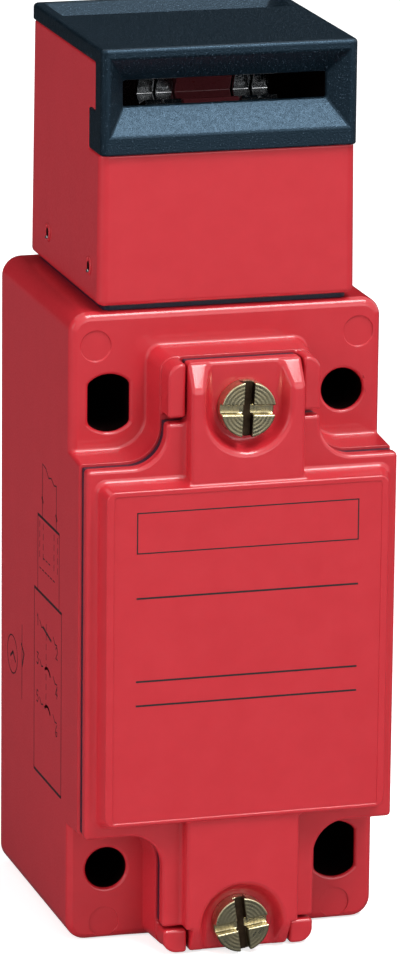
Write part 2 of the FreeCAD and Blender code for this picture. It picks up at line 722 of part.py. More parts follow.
def rotor_shaft():
    return rod_x(HEAD_Y, ROTOR_Z, SHAFT_R, -HEAD_WALL - 1.6, HEAD_WALL + 1.6)


# ---- contact block ------------------------------------------------------------------
def pole_tunnels():
    """One passage across the block for each pole's bridge and its travel."""
    spans = ((34.0, 41.2), (43.8, 50.6), (52.3, 59.1))
    return [box(-CORE_W, CORE_W, 0.6, 8.6, z0, z1) for z0, z1 in spans]


def terminal_bays():
    bays = []
    for z in TERMINAL_Z:
        bays += both_sides(box(CORE_W - 0.01, BLOCK_W + 1, BLOCK_Y[0] - 1, 8.6, z - 3.6, z + 3.6))
    return bays


def contact_block_base():
    block = box(-BLOCK_W, BLOCK_W, BLOCK_Y[0], BLOCK_Y[1], BLOCK_Z[0], BLOCK_Z[1])
    corners = edges_where(block, lambda e: runs_along(e, "y"))
    block = block.makeFillet(1.0, corners)
    channel = box(-CHANNEL_W, CHANNEL_W, BLOCK_Y[0] - 1, CHANNEL_BACK, CARRIAGE_Z[0] - 0.5, 70)
    well = rod_z(0, HEAD_Y, SPRING_R + 0.5, SPRING_LOW, CARRIAGE_Z[0] + 1)
    x, z = BLOCK_SCREW
    screws = [rod_y(side * x, z, 1.6, -10, 20) for side in (-1, 1)]
    heads = [rod_y(side * x, z, 2.7, -10, -1.5) for side in (-1, 1)]
    legs = []
    for strip_z, terminal_z in zip(STRIP_Z, TERMINAL_Z):
        low = min(strip_z, terminal_z - 3) - 0.6
        high = max(strip_z, terminal_z + 3) + 0.6
        legs += both_sides(box(TERMINAL_X + 1.9, BLOCK_W + 1, BLOCK_Y[0] - 1, 7.0, low, high))
    return cut(block, [channel, well] + pole_tunnels() + terminal_bays() + legs + screws + heads)


def spring_seat():
    """Square cup below the block that holds the return spring."""
    cup = box(-TAIL_W, TAIL_W, HEAD_Y - TAIL_W, HEAD_Y + TAIL_W, TAIL_LOW, BLOCK_Z[0])
    corners = edges_where(cup, lambda e: runs_along(e, "z"))
    return cup.makeChamfer(1.0, corners).cut(rod_z(0, HEAD_Y, SPRING_R + 0.5, SPRING_LOW, 40))


def contact_block_cover():
    plate = box(-CORE_W + 0.3, CORE_W - 0.3, BLOCK_Y[0] - 1.2, BLOCK_Y[0], BLOCK_Z[0] + 0.6,
                BLOCK_Z[1] - 0.4)
    corners = edges_where(plate, lambda e: runs_along(e, "y"))
    plate = plate.makeFillet(0.8, corners)
    x, z = BLOCK_SCREW
    corner = box(x - 2.7, CORE_W, -10, 0, 0, z + 2.7)
    return cut(plate, both_sides(corner))


def fixed_contact(strip_z, terminal_z):
    """One bent brass strip: contact end, outer leg and the plate under the screw."""
    z0 = strip_z - STRIP_T / 2
    z1 = strip_z + STRIP_T / 2
    leg_x = BLOCK_W - 0.9
    contact_end = box(TIP_X - TIP_R, leg_x + STRIP_T, 2.6, 6.6, z0, z1)
    low = min(z0, terminal_z - 2.4)
    high = max(z1, terminal_z + 2.4)
    leg = box(leg_x, leg_x + STRIP_T, BLOCK_Y[0], 6.6, low, high)
    plate = box(CORE_W + 0.1, leg_x + STRIP_T, BLOCK_Y[0], BLOCK_Y[0] + STRIP_T, terminal_z - 2.8,
                terminal_z + 2.8)
    hole = rod_y(TERMINAL_X, terminal_z, 1.72, -10, 0)
    return union([contact_end, leg, plate]).cut(hole)


def fixed_contacts():
    strips = []
    for strip_z, terminal_z in zip(STRIP_Z, TERMINAL_Z):
        strips += both_sides(fixed_contact(strip_z, terminal_z))
    return Part.makeCompound(strips)


def at_terminals(make):
    found = []
    for z in TERMINAL_Z:
        for side in (-1, 1):
            found.append(make(side * TERMINAL_X, z))
    return Part.makeCompound(found)


def terminal_clamp(x, z):
    plate = box(x - 2.0, x + 2.0, BLOCK_Y[0] - 1.0, BLOCK_Y[0], z - 2.6, z + 2.6)
    return plate.cut(rod_y(x, z, 1.8, -10, 0))


def terminal_screw(x, z):
    seat = BLOCK_Y[0] - 1.0
    head = slotted_head(x, z, 2.4, seat - 1.9, seat, 0.9, 0.9, [20 + 13 * z])
    return union([head, rod_y(x, z, 1.7, seat - 0.3, 1.0)])


def contact_block_screws():
    x, z = BLOCK_SCREW
    screws = []
    for side in (-1, 1):
        head = slotted_head(side * x, z, 2.5, -3.5, -1.5, 0.9, 0.9, [35 * side])
        screws.append(union([head, rod_y(side * x, z, 1.5, -1.8, 18.5)]))
    return Part.makeCompound(screws)


def earth_clamp():
    x, z = EARTH
    return box(x - 3.2, x + 3.2, 4.0, 5.0, z - 3.2, z + 3.2).cut(rod_y(x, z, 1.8, 0, 10))


def earth_screw():
    x, z = EARTH
    head = slotted_head(x, z, 2.9, 1.8, 4.0, 1.0, 1.0, [15])
    return union([head, rod_y(x, z, 1.75, 3.6, 14.0)])


def bridge_low(pole):
    """Underside of a bridge's strip: the lowest pole closes upwards, the others downwards."""
    strip_low = STRIP_Z[pole] - STRIP_T / 2
    strip_high = STRIP_Z[pole] + STRIP_T / 2
    if pole == 0:
        return strip_low - CONTACT_GAP - STROKE - TIP_T - BRIDGE_T
    return strip_high + CONTACT_GAP + TIP_T


def bridge_contacts():
    bridges = []
    for pole in range(len(STRIP_Z)):
        z = bridge_low(pole)
        strip = box(-BRIDGE_HALF, BRIDGE_HALF, BRIDGE_Y[0], BRIDGE_Y[1], z, z + BRIDGE_T)
        ends = edges_where(strip, lambda e: runs_along(e, "z"))
        strip = strip.makeChamfer(1.2, ends)
        tip_z = z + BRIDGE_T if pole == 0 else z - TIP_T
        tip = box(TIP_X - TIP_R, TIP_X + TIP_R, HEAD_Y - TIP_R, HEAD_Y + TIP_R, tip_z, tip_z + TIP_T)
        bridges.append(union([strip] + both_sides(tip)))
    return Part.makeCompound(bridges)


def window(pole):
    """Height of the carriage's window: the bridge, its spring and some play."""
    z = bridge_low(pole)
    if pole == 0:
        return z - 2.75, z + BRIDGE_T + 0.6
    return z - 0.6, z + BRIDGE_T + 2.75


def contact_carriage():
    bar = box(-CARRIAGE_W, CARRIAGE_W, CARRIAGE_Y[0], CARRIAGE_Y[1], CARRIAGE_Z[0], CARRIAGE_Z[1])
    windows = [box(-5, 5, BRIDGE_Y[0] - 0.3, BRIDGE_Y[1] + 0.3, *window(pole))
               for pole in range(len(STRIP_Z))]
    lighten = box(-5, 5, CARRIAGE_Y[0] + 1.4, -0.6, CARRIAGE_Z[0] + 3, CARRIAGE_Z[1] - 3)
    return cut(bar, windows + [lighten])


def contact_springs():
    springs = []
    for pole in range(len(STRIP_Z)):
        low, high = window(pole)
        z = bridge_low(pole)
        ends = (low, z) if pole == 0 else (z + BRIDGE_T, high)
        springs.append(coil(0, HEAD_Y, ends[0], ends[1], 1.8, 0.4, 3))
    return Part.makeCompound(springs)


def carriage_cap():
    """Steel cap that takes the plunger's push."""
    return rod_z(0, HEAD_Y, 3.0, CARRIAGE_Z[1], PLUNGER_LOW - 0.3)


def return_spring():
    return coil(0, HEAD_Y, SPRING_LOW, CARRIAGE_Z[0], SPRING_R, WIRE, 6)


# ---- output -------------------------------------------------------------------------
def main():
    nodes = {
        "body_housing": body_housing(),
        "front_cover": front_cover(),
        "cover_gasket": cover_gasket(),
        "cover_screws": cover_screws(),
        "screw_retainers": screw_retainers(),
        "head_casing": head_casing(),
        "slot_hood": slot_hood(),
        "head_base": head_base(),
        "spigot_seal": spigot_seal(),
        "head_gasket": head_gasket(),
        "retaining_ring": retaining_ring(),
        "ring_screws": ring_screws(),
        "plunger_guide": plunger_guide(),
        "plunger_seal": plunger_seal(),
        "plunger": plunger(),
        "plunger_clip": plunger_clip(),
        "rotor_cam": rotor_cam(),
        "coding_discs": coding_discs(),
        "rotor_bushes": rotor_bushes(),
        "rotor_shaft": rotor_shaft(),
        "contact_block_base": contact_block_base(),
        "contact_block_cover": contact_block_cover(),
        "spring_seat": spring_seat(),
        "fixed_contacts": fixed_contacts(),
        "terminal_clamps": at_terminals(terminal_clamp),
        "terminal_screws": at_terminals(terminal_screw),
        "contact_block_screws": contact_block_screws(),
        "earth_clamp": earth_clamp(),
        "earth_screw": earth_screw(),
        "contact_carriage": contact_carriage(),
        "carriage_cap": carriage_cap(),
        "bridge_contacts": bridge_contacts(),
        "contact_springs": contact_springs(),
        "return_spring": return_spring(),
    }
    os.makedirs("parts", exist_ok=True)
    for name, shape in nodes.items():
        if not shape.isValid():
            print("invalid shape:", name)
        shape.exportStep("parts/" + name + ".step")
    print(len(nodes), "nodes written")


main()
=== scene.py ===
"""Tongue interlock switch: the looks.

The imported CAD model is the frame.  Every shown piece is a mesh in metres in the same frame:
+X across the front, +Y from the cover to the mounting face, +Z from cable entry to hood.
"""

import json
import math

import bmesh
import bpy
from mathutils import Matrix, Quaternion, Vector
from mathutils.bvhtree import BVHTree
from mathutils.geometry import delaunay_2d_cdt
from mathutils.kdtree import KDTree


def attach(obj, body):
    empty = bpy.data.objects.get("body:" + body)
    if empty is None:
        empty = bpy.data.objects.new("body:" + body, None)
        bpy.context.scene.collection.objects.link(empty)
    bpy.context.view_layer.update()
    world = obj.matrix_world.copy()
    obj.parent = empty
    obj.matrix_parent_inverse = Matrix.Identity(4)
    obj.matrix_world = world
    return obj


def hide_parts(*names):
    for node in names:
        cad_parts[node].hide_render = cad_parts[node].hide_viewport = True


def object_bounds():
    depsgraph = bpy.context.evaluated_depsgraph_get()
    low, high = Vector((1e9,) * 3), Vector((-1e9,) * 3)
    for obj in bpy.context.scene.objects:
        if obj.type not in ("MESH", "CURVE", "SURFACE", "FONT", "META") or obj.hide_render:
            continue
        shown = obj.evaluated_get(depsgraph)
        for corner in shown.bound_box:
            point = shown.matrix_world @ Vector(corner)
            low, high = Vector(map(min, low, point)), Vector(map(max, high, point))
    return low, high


MM = 0.001

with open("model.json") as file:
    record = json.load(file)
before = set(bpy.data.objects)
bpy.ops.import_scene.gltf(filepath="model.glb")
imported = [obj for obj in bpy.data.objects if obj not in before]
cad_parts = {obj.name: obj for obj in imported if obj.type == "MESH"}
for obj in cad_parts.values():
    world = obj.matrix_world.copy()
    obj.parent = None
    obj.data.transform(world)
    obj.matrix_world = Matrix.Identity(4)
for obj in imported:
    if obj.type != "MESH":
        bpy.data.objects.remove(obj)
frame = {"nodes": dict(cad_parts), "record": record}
cad_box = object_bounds()
record = frame["record"]

BODY_OF = {n: body for body, nodes in record["behaviour"]["bodies"].items() for n in nodes}
SLOT_OF = {s["node"]: s["material_slot"] for s in record["subparts"]}

# ---- softened edges: widest round of each node's edges, in millimetres ----------------
EDGE = {
    "body_housing": 0.42, "front_cover": 0.55, "head_casing": 0.3, "slot_hood": 0.24,
    "head_base": 0.2, "contact_block_base": 0.25, "contact_block_cover": 0.2, "spring_seat": 0.2,
    "contact_carriage": 0.15, "rotor_cam": 0.15, "coding_discs": 0.14, "cover_gasket": 0.2,
    "head_gasket": 0.15, "cover_screws": 0.16, "terminal_screws": 0.14, "earth_screw": 0.16,
    "contact_block_screws": 0.14, "fixed_contacts": 0.1, "bridge_contacts": 0.1,
}
EDGE_DEFAULT = 0.08
ROUND_SEGMENTS = 3
SHARP = math.radians(24)                    # edges that turn more than this are rounded
ARC_TURN = math.radians(40)                 # edges that follow on within this form one run
FLAT_COS = math.cos(math.radians(0.25))     # faces closer than this share a plane
SMOOTH_COS = math.cos(math.radians(42))     # faces closer than this are shaded as one
WELD = 0.002             # corners of a CAD node closer than this are one
FLAT_TURN = math.radians(0.4)               # its edges that turn less than this are dropped
FENCE_H = 0.01           # half height of the fences that stand on the sharp edges
CLEAR = 0.005            # where the search for room goes on beyond a fence
ROOM_MOST = 10.0         # how far it goes
ROOM_SHARE = 0.45        # of the room beside an edge that its round may take
STRAY = 0.35             # a corner this many widths off the surface is a fault
EASE = 0.6               # what is left of a round that threw such a corner
EASE_ROUNDS = 4
WELD_ROUNDED = 0.001     # corners of a rounded mesh closer than this are one
SLIVER = 0.0005          # its faces thinner than this are dissolved

# ---- places on the part, in millimetres ------------------------------------------------
HEAD_Y = 4.6             # turret axis, and the axis of the cable entry
COVER_SCREW_Z = (3.7, 69.9)
SCREW_R = 2.0
SCREW_PITCH = 0.7
SCREW_RIDGE = 0.16
SCREW_THREAD_Y = (-15.5, -8.8)
SLOT_HALF = 0.75         # taken from the middle of a cover screw's upright slot
SLOT_DEPTH = 1.1
LATHE_PITCH = 0.45       # rings on the screw heads
ENTRY_R = 9.53
ENTRY_DEPTH = 18.2
ENTRY_PITCH = 1.411      # 18 threads to the inch
ENTRY_RIDGE = -0.32
ENTRY_MARGIN = 0.8
BORE_X = 15.0            # through holes beside the cover screws
BORE_Z = (9.3, 69.3)
BORE_REACH = 3.9
BORE_SHADE_Y = -10.2
CAVITY_X = 13.95         # hollow of the head behind the tongue slot
CAVITY_Y = (-10.0, 19.5)
CAVITY_Z = 84.5
STAKE_Y = (-7.3, 12.1)   # punched marks on the head's left side
STAKE_Z = 85.7
STAKE_FORMS = (          # offset ahead and above, half sizes, profile, number of the material
    ((0.0, 0.0), (1.05, 1.25), ((1.0, -0.02), (0.86, 0.13), (0.7, 0.2), (0.52, 0.12)), 0),
    ((0.0, 0.0), (0.62, 0.78), ((1.0, 0.05), (0.9, 0.14), (0.5, 0.14)), 1),
    ((-0.15, -0.62), (0.42, 0.26), ((1.0, 0.0), (0.8, 0.24), (0.45, 0.34)), 2),
    ((-0.35, 0.82), (0.4, 0.34), ((1.0, 0.0), (0.8, 0.2), (0.4, 0.3)), 0),
)
# the second, nearly black, is painted shade in the marks' pits
STAKE_MATERIALS = ("red_casting", "painted_shade_casting", "plain_steel")

# ---- printing, in millimetres ----------------------------------------------------------
LABEL_Y = -21.88
LABEL_RULE = 14.12       # half the length of the label's lines
LABEL_FRAME = (52.8, 57.9)
LABEL_LINES = (47.1, 36.5, 33.4)
SIDE_X = 20.0
SCHEME_SIDES = (-4.8, 8.3)
SCHEME_ENDS = (17.9, 41.8)
SOCKET_SIDES = (-3.2, 7.1)
SOCKET_TOP = 51.7
INK_PROUD = 0.008
INK_THIN = 0.17
INK_FRAME = 0.16
INK_RULE = 0.24
INK_BOLD = 0.36
DASH = 0.7
DASH_GAP = 0.6
DIGIT_H = 1.5
DIGIT_W = 0.62           # of its height

# ---- light ------------------------------------------------------------------------------
LIT_POINT = (0, 0, 0.05)
WORLD_LIGHT = 0.36       # on the object; cameras and reflections see the room at 1
FLOOR_GLOW = 0.7         # for the camera only
CARD_GLOW = 0.06

# ---- view ---------------------------------------------------------------------------
VIEW_AZIMUTH = -16.48
VIEW_ELEVATION = 14.83
VIEW_ROLL = 0.598
VIEW_DISTANCE = 0.7685
VIEW_TARGET = (0.0002, 0.0, 0.05572)
LENS = 229.7


# ---- mesh helpers -------------------------------------------------------------------
def new_object(name, bm):
    """A scene object with the mesh built in bm."""
    mesh = bpy.data.meshes.new(name)
    bm.to_mesh(mesh)
    bm.free()
    obj = bpy.data.objects.new(name, mesh)
    bpy.context.scene.collection.objects.link(obj)
    return obj


def in_order(things):
    """Each thing once, in the order of its first coming, so that every run is the same."""
    return list(dict.fromkeys(things))


def fences(edges):
    """Low fences along edges, standing across both of each edge's faces, and whose they are."""
    corners, strips, owners = [], [], []
    for edge in edges:
        a, b = (v.co for v in edge.verts)
        for face in edge.link_faces:
            rise = face.normal * FENCE_H
            strips.append(list(range(len(corners), len(corners) + 4)))
            corners += [a - rise, b - rise, b + rise, a + rise]
            owners.append(edge)
    return BVHTree.FromPolygons(corners, strips), owners


def room_beside(edge, fence, owners):
    """How far it is from an edge, across either of its faces, to the next sharp edge."""
    room = ROOM_MOST
    for loop in edge.link_loops:
        a, b = loop.vert.co, loop.link_loop_next.vert.co
        inward = loop.face.normal.cross(b - a).normalized()
        for share in (0.25, 0.5, 0.75):
            here = a.lerp(b, share)
            gone = CLEAR
            while gone < room:
                _, _, strip, distance = fence.ray_cast(here + inward * gone, inward, room - gone)
                if strip is None:
                    break
                gone += distance + CLEAR
                if not set(owners[strip].verts) & set(edge.verts):
                    room = min(room, gone)
    return room


def bend(vert, first, second):
    """How far the way turns from one edge into the next at a vertex they share."""
    arriving = vert.co - first.other_vert(vert).co
    return arriving.angle(second.other_vert(vert).co - vert.co, math.pi)


def runs_of(edges):
    """Runs of edges that follow on from one another without a corner."""
    leader = {edge: edge for edge in edges}

    def first_of(edge):
        while leader[edge] is not edge:
            leader[edge] = leader[leader[edge]]
            edge = leader[edge]
        return edge

    for vert in in_order(v for edge in edges for v in edge.verts):
        here = [edge for edge in vert.link_edges if edge in leader]
        for i, one in enumerate(here):
            for other in here[i + 1:]:
                if bend(vert, one, other) < ARC_TURN:
                    leader[first_of(one)] = first_of(other)
    runs = {}
    for edge in edges:
        runs.setdefault(first_of(edge), []).append(edge)
    return list(runs.values())


def mark_edges(bm, width):
    """Gives each run of sharp edges one share of the widest round, as far as there is room."""
    layer = bm.edges.layers.float.new("bevel_weight_edge")
    sharp = [e for e in bm.edges if len(e.link_faces) == 2 and e.calc_face_angle(0) > SHARP]
    fence, owners = fences(sharp)
    runs = runs_of(sharp)
    for run in runs:
        room = min(width, ROOM_SHARE * min(room_beside(edge, fence, owners) for edge in run))
        for edge in run:
            edge[layer] = room / width
    return runs


def soft_copy(node, name):
    """The CAD node's shape with its edges rounded over.  The rounding runs in millimetres."""
    width = EDGE.get(node, EDGE_DEFAULT)
    bm = bmesh.new()
    bm.from_mesh(frame["nodes"][node].data)
    bmesh.ops.scale(bm, vec=(1 / MM,) * 3, verts=bm.verts)
    bmesh.ops.remove_doubles(bm, verts=bm.verts, dist=WELD)
    bmesh.ops.dissolve_limit(bm, angle_limit=FLAT_TURN, verts=bm.verts, edges=bm.edges)
    surface = BVHTree.FromBMesh(bm)
    runs = mark_edges(bm, width)
    for _ in range(EASE_ROUNDS):
        mesh = rounded_mesh(bm, name, width)
        strays = [v for v in mesh.vertices if surface.find_nearest(v.co)[3] > STRAY * width]
        if not strays:
            break
        ease_runs(bm, runs, [v.co.copy() for v in strays])
    for vert in strays:
        vert.co = surface.find_nearest(vert.co)[0]
    low, high = box_of(bm.verts)
    for vert in mesh.vertices:
        vert.co = Vector(min(max(c, least), most) for c, least, most in zip(vert.co, low, high))
    bm.free()
    obj = bpy.data.objects.new(name, finished_mesh(mesh))
    bpy.context.scene.collection.objects.link(obj)
    return obj


def box_of(verts):
    """The two far corners of the box round some corners."""
    return [Vector(pick(v.co[i] for v in verts) for i in range(3)) for pick in (min, max)]


def rounded_mesh(bm, name, width):
    """The draft's mesh with its marked edges rounded."""
    draft = new_object(name, bm.copy())
    bevel = draft.modifiers.new("round", "BEVEL")
    bevel.limit_method = "WEIGHT"
    bevel.width = width
    bevel.segments = ROUND_SEGMENTS
    bevel.use_clamp_overlap = False
    graph = bpy.context.evaluated_depsgraph_get()
    mesh = bpy.data.meshes.new_from_object(draft.evaluated_get(graph), depsgraph=graph)
    bpy.data.objects.remove(draft)
    return mesh


def ease_runs(bm, runs, strays):
    """Rounds less along the runs that threw a corner off the surface."""
    layer = bm.edges.layers.float["bevel_weight_edge"]
    ends = KDTree(len(bm.verts))
    bm.verts.ensure_lookup_table()
    for vert in bm.verts:
        ends.insert(vert.co, vert.index)
    ends.balance()
    near = set()
    for point in strays:
        near.update(index for _, index, _ in ends.find_n(point, 4))
    for run in runs:
        if any(v.index in near for edge in run for v in edge.verts):
            for edge in run:
                edge[layer] *= EASE


def finished_mesh(mesh):
    """Cleans the flats, leans the corner normals on them and turns millimetres into metres."""
    bm = bmesh.new()
    bm.from_mesh(mesh)
    bmesh.ops.remove_doubles(bm, verts=bm.verts, dist=WELD_ROUNDED)
    bmesh.ops.dissolve_degenerate(bm, dist=SLIVER, edges=bm.edges)
    lean = bm.faces.layers.float.new("lean")
    for patch in flat_patches(bm):
        area = sum(face.calc_area() for face in patch)
        if len(patch) == 1 and len(patch[0].verts) <= 4:
            patch[0][lean] = area
            continue
        for face in retiled(bm, patch):
            face[lean] = area
    loose = [e for e in bm.edges if not e.link_faces]
    bmesh.ops.delete(bm, geom=loose, context="EDGES")
    bm.to_mesh(mesh)
    bm.free()
    mesh.transform(Matrix.Scale(MM, 4))
    face_normals(mesh)
    return mesh


def flat_patches(bm):
    """Groups of joined faces that lie in one plane."""
    bm.normal_update()
    seen = set()
    patches = []
    for first in bm.faces:
        if first in seen:
            continue
        seen.add(first)
        patch = [first]
        for face in patch:
            for edge in face.edges:
                for other in edge.link_faces:
                    if other not in seen and other.normal.dot(first.normal) > FLAT_COS:
                        seen.add(other)
                        patch.append(other)
        patches.append(patch)
    return patches


def retiled(bm, patch):
    """Cuts a flat patch, holes and all, into clean triangles."""
    normal = max(patch, key=lambda face: face.calc_area()).normal.copy()
    across = normal.orthogonal().normalized()
    up = normal.cross(across)
    inside = set(patch)
    rim = [e for e in in_order(e for face in patch for e in face.edges)
           if sum(face in inside for face in e.link_faces) == 1]
    verts = in_order(v for e in rim for v in e.verts)
    number = {v: i for i, v in enumerate(verts)}
    level = verts[0].co.dot(normal)
    flat = [Vector((v.co.dot(across), v.co.dot(up))) for v in verts]
    ends = [(number[e.verts[0]], number[e.verts[1]]) for e in rim]
    points, _, tiles, sources, _, _ = delaunay_2d_cdt(flat, ends, [], 1, 1e-5)
    bmesh.ops.delete(bm, geom=patch, context="FACES_ONLY")
    corners = []
    for point, source in zip(points, sources):
        if source:
            corners.append(verts[source[0]])
        else:
            corners.append(bm.verts.new(across * point.x + up * point.y + normal * level))
    made = []
    for tile in tiles:
        centre = sum((points[i] for i in tile), Vector((0, 0))) / 3
        if not within(centre, flat, ends):
            continue
        tri = [corners[i] for i in tile]
        if (tri[1].co - tri[0].co).cross(tri[2].co - tri[0].co).dot(normal) < 0:
            tri.reverse()
        if len(set(tri)) == 3 and not bm.faces.get(tri):
            made.append(bm.faces.new(tri))
    return made


def within(point, flat, ends):
    """Whether a point lies inside the outline: an odd number of edges to its right."""
    crossings = 0
    for a, b in ends:
        p, q = flat[a], flat[b]
        if (p.y > point.y) != (q.y > point.y):
            if point.x < p.x + (q.x - p.x) * (point.y - p.y) / (q.y - p.y):
                crossings += 1
    return crossings % 2 == 1


def face_normals(mesh):
    """Corner normals that lean on the largest flats, so flats stay flat and rounds stay round."""
    lean = [item.value for item in mesh.attributes["lean"].data]
    around = [[] for _ in mesh.vertices]
    for face in mesh.polygons:
        face.use_smooth = True
        for v in face.vertices:
            around[v].append(face.index)
    flat = [(face.normal.copy(), max(lean[face.index], 1e-6) ** 2) for face in mesh.polygons]
    normals = []
    for face in mesh.polygons:
        own = flat[face.index][0]
        for v in face.vertices:
            total = Vector((0, 0, 0))
            for other in around[v]:
                normal, weight = flat[other]
                if normal.dot(own) > SMOOTH_COS:
                    total += normal * weight
            normals.append(total.normalized() if total.length > 0 else own)
    mesh.normals_split_custom_set(normals)


def place(obj, body, slot_name):
    """Gives a piece the material of its slot, and its body."""
    obj.data.materials.clear()
    obj.data.materials.append(MATERIALS[slot_name])
    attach(obj, body)
    return obj


def dress(node, name):
    """Shows a softened copy of a CAD node in place of it."""
    obj = soft_copy(node, name)
    place(obj, BODY_OF[node], SLOT_OF[node])
    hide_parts(node)
    return obj


# ---- materials ----------------------------------------------------------------------
NOISE_LOW, NOISE_HIGH = 0.3, 0.7     # nearly all of a noise lies between these


class Nodes:
    """A material's node tree, with short calls for the nodes used here."""

    def __init__(self, name):
        self.material = bpy.data.materials.new(name)
        self.material.use_nodes = True
        self.tree = self.material.node_tree
        self.shader = self.tree.nodes["Principled BSDF"]
        self.where = self.add("ShaderNodeTexCoord").outputs["Object"]

    def add(self, kind, **settings):
        node = self.tree.nodes.new(kind)
        for key, value in settings.items():
            setattr(node, key, value)
        return node

    def link(self, a, b):
        self.tree.links.new(a, b)

    def set(self, **values):
        for key, value in values.items():
            self.shader.inputs[key.replace("_", " ")].default_value = value

    def noise(self, per_mm, detail=3.0, rough=0.55):
        node = self.add("ShaderNodeTexNoise")
        node.inputs["Scale"].default_value = per_mm / MM
        node.inputs["Detail"].default_value = detail
        node.inputs["Roughness"].default_value = rough
        self.link(self.where, node.inputs["Vector"])
        return node.outputs["Fac"]

    def ramp(self, source, stops):
        node = self.add("ShaderNodeValToRGB")
        ends = node.color_ramp.elements
        while len(ends) < len(stops):
            ends.new(0.5)
        for element, (position, colour) in zip(ends, stops):
            element.position = position
            element.color = (*colour, 1.0)
        self.link(source, node.inputs["Fac"])
        return node.outputs["Color"]

    def range(self, source, low, high):
        node = self.add("ShaderNodeMapRange")
        for key, value in (("From Min", NOISE_LOW), ("From Max", NOISE_HIGH), ("To Min", low),
                           ("To Max", high)):
            node.inputs[key].default_value = value
        self.link(source, node.inputs["Value"])
        return node.outputs["Result"]

    def math(self, operation, *sources):
        node = self.add("ShaderNodeMath", operation=operation)
        for socket, source in zip(node.inputs, sources):
            if isinstance(source, float):
                socket.default_value = source
            else:
                self.link(source, socket)
        return node.outputs["Value"]

    def bump(self, height, depth_mm, under=None):
        node = self.add("ShaderNodeBump")
        node.inputs["Distance"].default_value = depth_mm * MM
        node.inputs["Strength"].default_value = 1.0
        self.link(height, node.inputs["Height"])
        if under:
            self.link(under, node.inputs["Normal"])
        return node.outputs["Normal"]

    def wire(self, **sources):
        for key, source in sources.items():
            self.link(source, self.shader.inputs[key.replace("_", " ")])
        return self.material


def enamel(name, low, high, roughness):
    """Stoved paint on a casting: faint orange peel, fine grain and slow changes of tone."""
    n = Nodes(name)
    n.set(Specular_IOR_Level=0.5, Coat_Weight=0.5, Coat_Roughness=0.08)
    colour = n.ramp(n.noise(0.35, 4), [(NOISE_LOW, low), (NOISE_HIGH, high)])
    peel = n.bump(n.noise(1.6, 2), 0.004)
    grain = n.bump(n.noise(9.0, 2), 0.002, under=peel)
    return n.wire(Base_Color=colour, Roughness=n.range(n.noise(4.0), roughness - 0.05, roughness + 0.06),
                  Normal=grain)


def grained_plastic(name, low, high, roughness, depth, per_mm=7.0, painted_glint=None, tint=(1, 1, 1),
                    gloss=0.5):
    """Moulded plastic or rubber; where a light colour is given for them, sparse light grains are painted
    into the colour for light catching the grained surface: painted highlights.
    """
    n = Nodes(name)
    n.set(Specular_IOR_Level=gloss, Specular_Tint=(*tint, 1))
    stops = [(0.35, low), (0.62, high)]
    # light grains painted into the colour: painted highlights off the grain
    if painted_glint:
        stops += [(0.64, high), (0.71, painted_glint)]
    colour = n.ramp(n.noise(per_mm, 2), stops)
    return n.wire(Base_Color=colour, Roughness=n.range(n.noise(2.0), roughness - 0.06, roughness + 0.06),
                  Normal=n.bump(n.noise(per_mm, 3), depth))


def metal(name, low, high, roughness, per_mm=2.0, depth=0.0006):
    """Bare or plated metal: slow stains in its colour and fine marks in its gloss."""
    n = Nodes(name)
    n.set(Metallic=1.0)
    marks = n.noise(per_mm * 4, 4, 0.6)
    colour = n.ramp(n.noise(per_mm * 0.4, 4, 0.6), [(NOISE_LOW, low), (NOISE_HIGH, high)])
    return n.wire(Base_Color=colour, Roughness=n.range(marks, roughness - 0.08, roughness + 0.1),
                  Normal=n.bump(marks, depth))


def screw_metal(name, low, high, roughness):
    """Yellow-plated screws: rings left by the lathe, and stains that differ between the two."""
    n = Nodes(name)
    n.set(Metallic=1.0)
    axes = n.add("ShaderNodeSeparateXYZ")
    n.link(n.where, axes.inputs[0])
    lowest, highest = (z * MM for z in COVER_SCREW_Z)
    half = (highest - lowest) / 2
    height = n.math("WRAP", n.math("SUBTRACT", axes.outputs["Z"], lowest), half, -half)
    radius = n.math("SQRT", n.math("ADD", n.math("POWER", axes.outputs["X"], 2.0),
                                   n.math("POWER", height, 2.0)))
    rings = n.math("SINE", n.math("MULTIPLY", radius, 2 * math.pi / (LATHE_PITCH * MM)))
    stains = n.noise(0.9, 4, 0.65)
    colour = n.ramp(stains, [(NOISE_LOW, low), (NOISE_HIGH, high)])
    scratches = n.bump(n.noise(6.0, 3), 0.002)
    return n.wire(Base_Color=colour, Roughness=n.range(stains, roughness + 0.1, roughness - 0.08),
                  Normal=n.bump(rings, 0.006, under=scratches))


